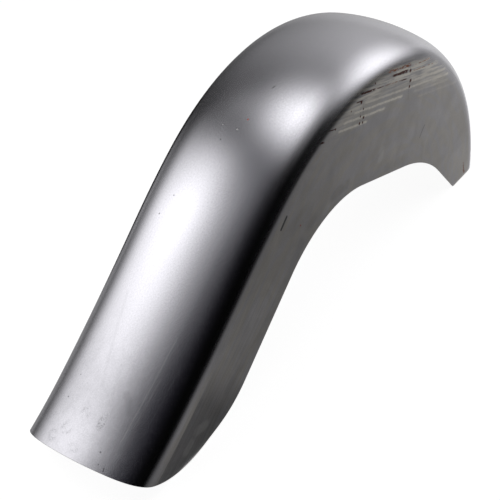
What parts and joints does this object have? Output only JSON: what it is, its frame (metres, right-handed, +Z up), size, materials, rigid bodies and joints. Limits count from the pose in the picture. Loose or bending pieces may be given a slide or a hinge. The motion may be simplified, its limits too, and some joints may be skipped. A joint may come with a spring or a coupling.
{
  "type": "motorcycle rear fender",
  "caption": "Motorcycle rear fender pressed from one bare steel sheet: crowned top, flat side skirts, an arch over the wheel and a long tail with a slight flip.",
  "frame": {"origin": "middle of the length and of the width, on the level that the front rim and the skirts' bellies stand on", "axes": "+X forward from the tail to the front rim, +Y to the rider's left, +Z up"},
  "size_m": [0.891, 0.178, 0.3622],
  "materials": {
    "steel": "bare mill-finish sheet, satin, with rust lines and pale draw marks on the right skirt"
  },
  "bodies": {
    "root": {"fender": "steel"}
  },
  "joints": []
}
